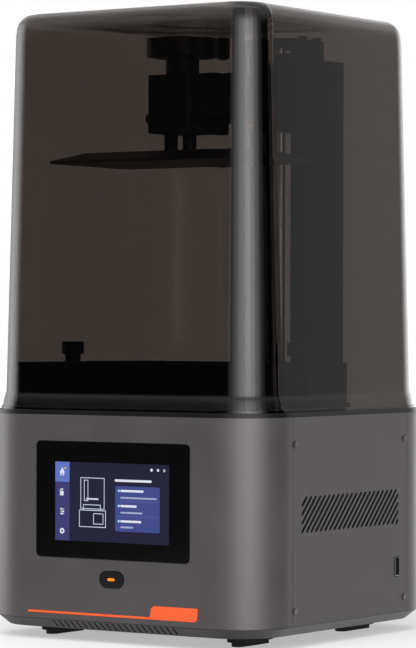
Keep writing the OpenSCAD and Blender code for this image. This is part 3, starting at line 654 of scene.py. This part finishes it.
# height above the plate, how far in from the base's outline
outside = [(0, 2.0), (2.1, 2.0), (2.3, 3.1), (7, 3.9), (10, 4.7), (12, 5.3), (16, 5.5), (40, 6.1),
           (100, 7.6), (160, 9.1), (220, 10.6), (256, 11.5), (262, 11.8), (267, 12.5),
           (270.5, 13.9), (273.2, 16.3), (275.2, 19.6), (276, 23.5)]
inside = [(0.05, 4.6), (2.3, 5.3), (7, 6.1), (10, 6.9), (12, 7.5), (16, 7.7), (40, 8.3), (100, 9.8),
          (160, 11.3), (220, 12.8), (256, 13.7), (262, 14.0), (266, 14.8), (269.2, 16.2),
          (271.6, 18.4), (273.2, 21.4), (273.8, 25.0)]


def pick_level(piece, height):
    """Selects the points of a piece that lie at one height, and leaves it in edit mode."""
    bpy.ops.object.mode_set(mode="EDIT")
    bpy.ops.mesh.select_mode(type="VERT")
    bpy.ops.mesh.select_all(action="DESELECT")
    bpy.ops.object.mode_set(mode="OBJECT")
    for point in piece.data.vertices:
        point.select = abs(point.co.z - height) < 0.1 * MM
    bpy.ops.object.mode_set(mode="EDIT")


def hood_skin(name, outline, corner_less):
    """One face of the hood's wall, as rounded rings one above the other with a roof on top."""
    bpy.ops.object.select_all(action="DESELECT")
    rings = []
    for height, inset in outline:
        bpy.ops.mesh.primitive_plane_add(size=1, location=(0, 0, (DECK + height) * MM))
        ring = bpy.context.object
        ring.scale = ((BASE_W - 2 * inset) * MM, (BASE_D - 2 * inset) * MM, 1)
        bpy.ops.object.transform_apply(location=True, scale=True)
        bpy.ops.object.mode_set(mode="EDIT")
        bpy.ops.mesh.select_all(action="SELECT")
        bpy.ops.mesh.bevel(offset=max(BASE_CORNER - inset - corner_less, 8) * MM, segments=16,
                           affect="VERTICES", profile=0.5)
        bpy.ops.mesh.delete(type="ONLY_FACE")
        bpy.ops.object.mode_set(mode="OBJECT")
        rings.append(ring)
    for ring in rings:
        ring.select_set(True)
    bpy.context.view_layer.objects.active = rings[0]
    bpy.ops.object.join()
    skin = bpy.context.object
    skin.name = name
    bpy.ops.object.mode_set(mode="EDIT")
    bpy.ops.mesh.select_all(action="SELECT")
    bpy.ops.mesh.bridge_edge_loops()
    bpy.ops.object.mode_set(mode="OBJECT")
    pick_level(skin, (DECK + outline[-1][0]) * MM)
    bpy.ops.mesh.edge_face_add()
    bpy.ops.object.mode_set(mode="OBJECT")
    return skin


outer_skin = hood_skin("hood_shell", outside, 0)
inner_skin = hood_skin("hood_inner", inside, CORNER_FILL)
bpy.ops.object.select_all(action="DESELECT")
inner_skin.select_set(True)
outer_skin.select_set(True)
bpy.context.view_layer.objects.active = outer_skin
bpy.ops.object.join()
hood = bpy.context.object
pick_level(hood, DECK * MM)
bpy.ops.mesh.bridge_edge_loops()
bpy.ops.mesh.select_all(action="SELECT")
bpy.ops.mesh.normals_make_consistent(inside=False)
bpy.ops.object.mode_set(mode="OBJECT")
bpy.ops.object.shade_smooth_by_angle(angle=math.radians(40))
even = hood.modifiers.new("even", "WEIGHTED_NORMAL")
even.keep_sharp = True
bpy.ops.object.modifier_apply(modifier="even")
hood.data.materials.clear()
hood.data.materials.append(hood_tint)
# The flanks of the rounded corners get a near-black painted shade in their tint, standing for the
# black that the thick moulded corner shows there. Seen from inside they are as clear as the rest. The turn
# of a face away from the front or back, in degrees, says where the two painted shade bands are.
PAINTED_SHADE_BANDS = ((22.5, 39.4), (50.6, 73.1))
painted_corner_shade = hood_tint.copy()
painted_corner_shade.name = "hood_corner_painted_shade"
tree = painted_corner_shade.node_tree
side_seen = tree.nodes.new("ShaderNodeNewGeometry")
# near-black painted shade on the outer face, the plain tint on the inner face
depth = tree.nodes.new("ShaderNodeMix")
depth.data_type = "RGBA"
depth.inputs["A"].default_value = CORNER_PAINTED_SHADE
depth.inputs["B"].default_value = HOOD_TONE
tree.links.new(side_seen.outputs["Backfacing"], depth.inputs["Factor"])
tree.links.new(depth.outputs["Result"], tree.nodes["Principled BSDF"].inputs["Base Color"])
hood.data.materials.append(painted_corner_shade)
for face in hood.data.polygons:
    turned = math.degrees(math.atan2(abs(face.normal.x), abs(face.normal.y)))
    outward = face.center.x * face.normal.x + face.center.y * face.normal.y > 0
    in_band = any(low < turned < high for low, high in PAINTED_SHADE_BANDS)
    if outward and abs(face.normal.z) < 0.5 and in_band:
        face.material_index = 1
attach(hood, "hood")
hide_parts("hood")

for name, diameter in (("hood_ring_small", 80), ("hood_ring_large", 171)):
    bpy.ops.object.select_all(action="DESELECT")
    bpy.ops.mesh.primitive_cylinder_add(vertices=128, radius=diameter / 2 * MM, depth=1.0 * MM,
                                        end_fill_type="NOTHING",
                                        location=(0, 0, (DECK + RING_HEIGHT) * MM))
    bpy.ops.object.transform_apply(location=True)
    ring = bpy.context.object
    ring.name = name
    wall = ring.modifiers.new("wall", "SOLIDIFY")
    wall.thickness = 2 * MM
    wall.offset = -1
    bpy.ops.object.modifier_apply(modifier="wall")
    bpy.ops.object.shade_smooth_by_angle(angle=math.radians(40))
    ring.data.materials.append(hood_tint)
    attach(ring, "hood")
    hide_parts("hood")
